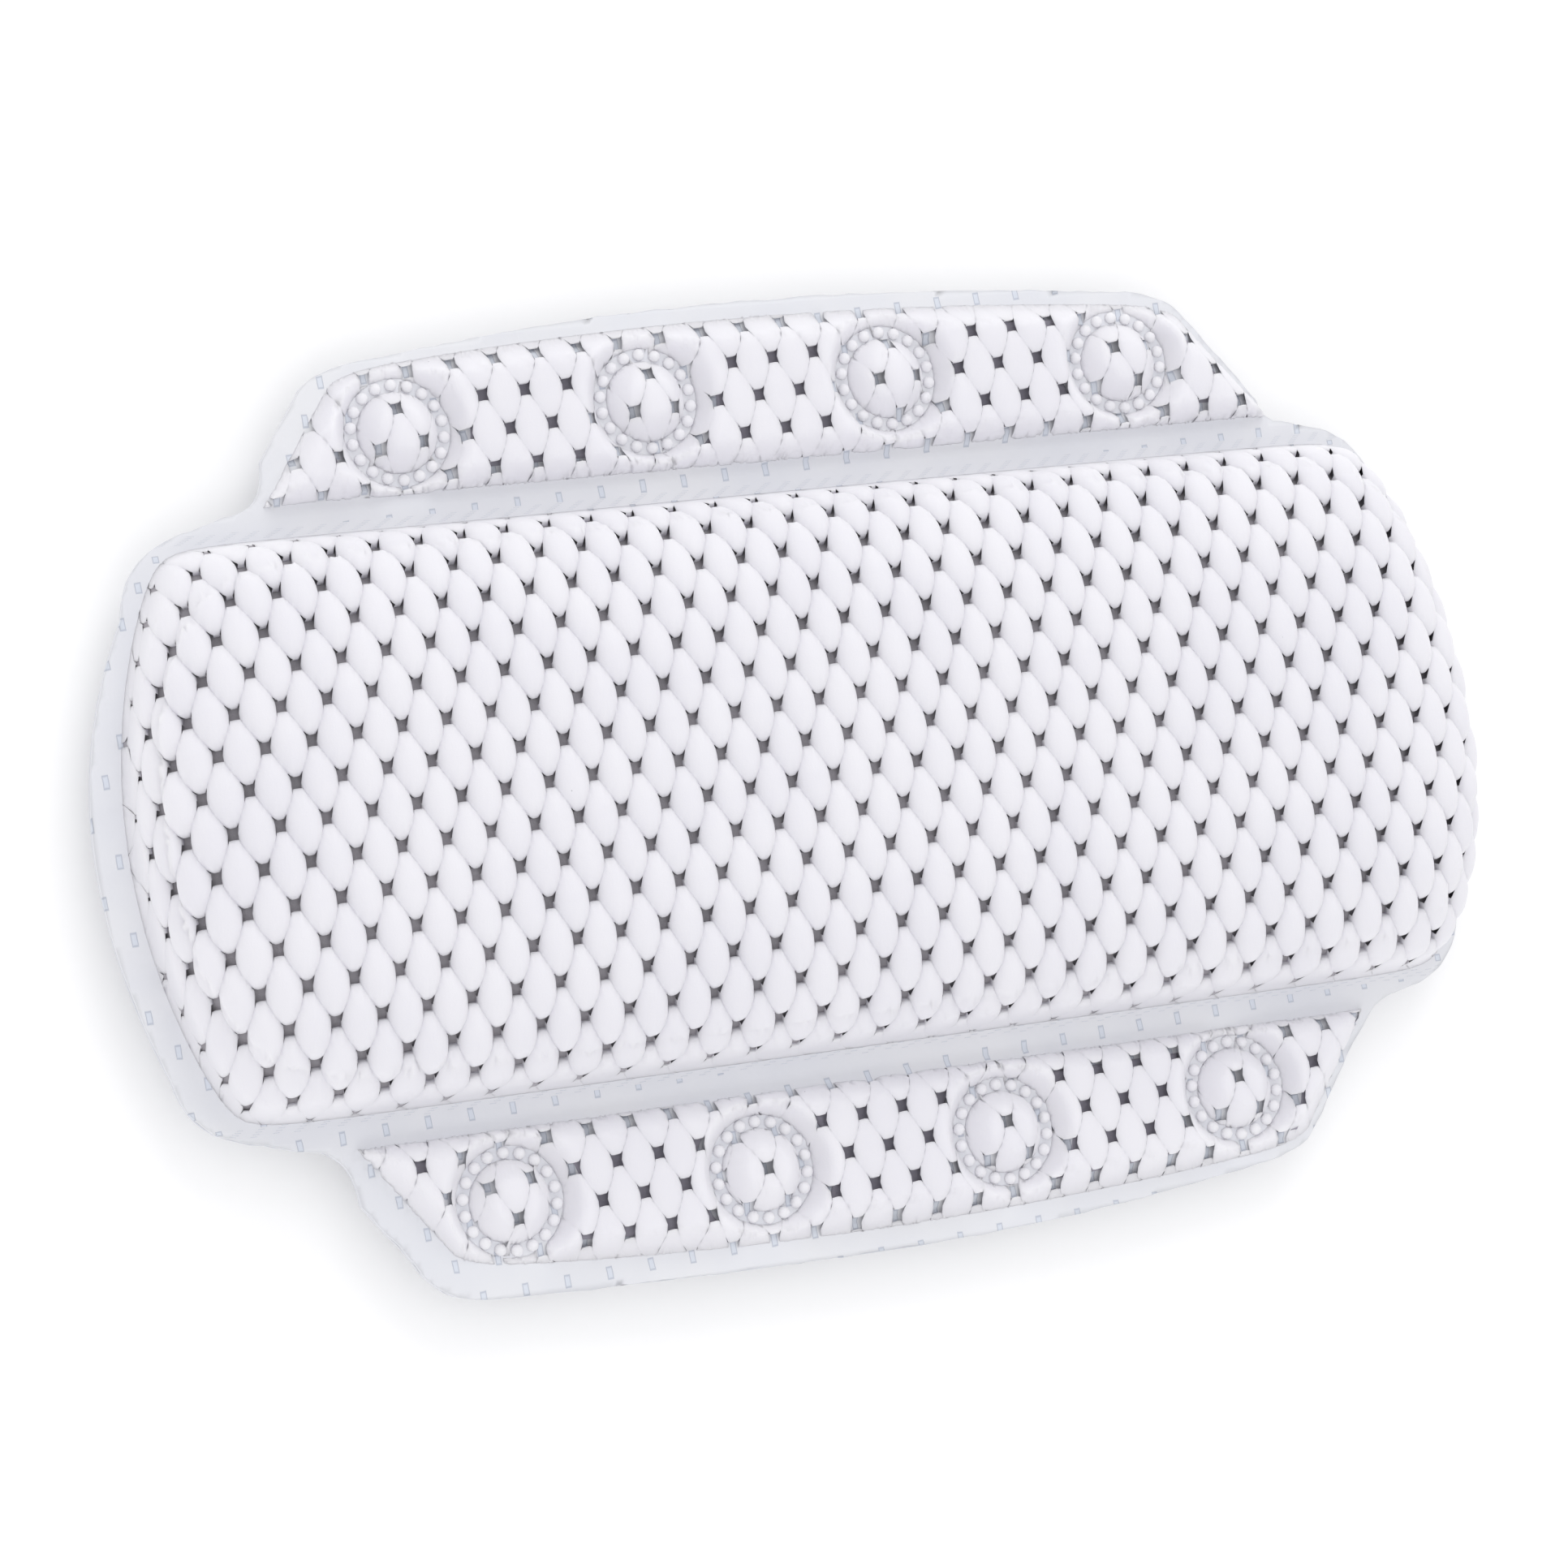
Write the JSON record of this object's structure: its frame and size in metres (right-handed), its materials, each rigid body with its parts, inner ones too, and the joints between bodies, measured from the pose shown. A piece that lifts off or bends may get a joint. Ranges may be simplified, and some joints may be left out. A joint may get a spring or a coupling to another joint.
{
  "type": "bath pillow",
  "caption": "Soft bath pillow of moulded foam mesh: a low loaf-shaped bolster between two flat welded flaps that carry suction cups.",
  "frame": {"origin": "under the middle of the bolster, on the plane of the suction cup rims", "axes": "+X along the bolster, +Y across it towards the upper flap, +Z out of the face that the head rests on"},
  "size_m": [0.33, 0.212, 0.0379],
  "materials": {
    "mesh": "matt moulded PVC foam mesh",
    "back": "matt closed PVC foam sheet",
    "core": "open grey foam",
    "cup": "clear soft PVC"
  },
  "bodies": {
    "root": {"front_mesh_cover": "mesh", "back_sheet": "back", "bolster_core": "core", "upper_flap_pad": "core", "lower_flap_pad": "core", "suction_cup_upper_1": "cup", "suction_cup_upper_2": "cup", "suction_cup_upper_3": "cup", "suction_cup_upper_4": "cup", "suction_cup_lower_1": "cup", "suction_cup_lower_2": "cup", "suction_cup_lower_3": "cup", "suction_cup_lower_4": "cup"}
  },
  "joints": []
}
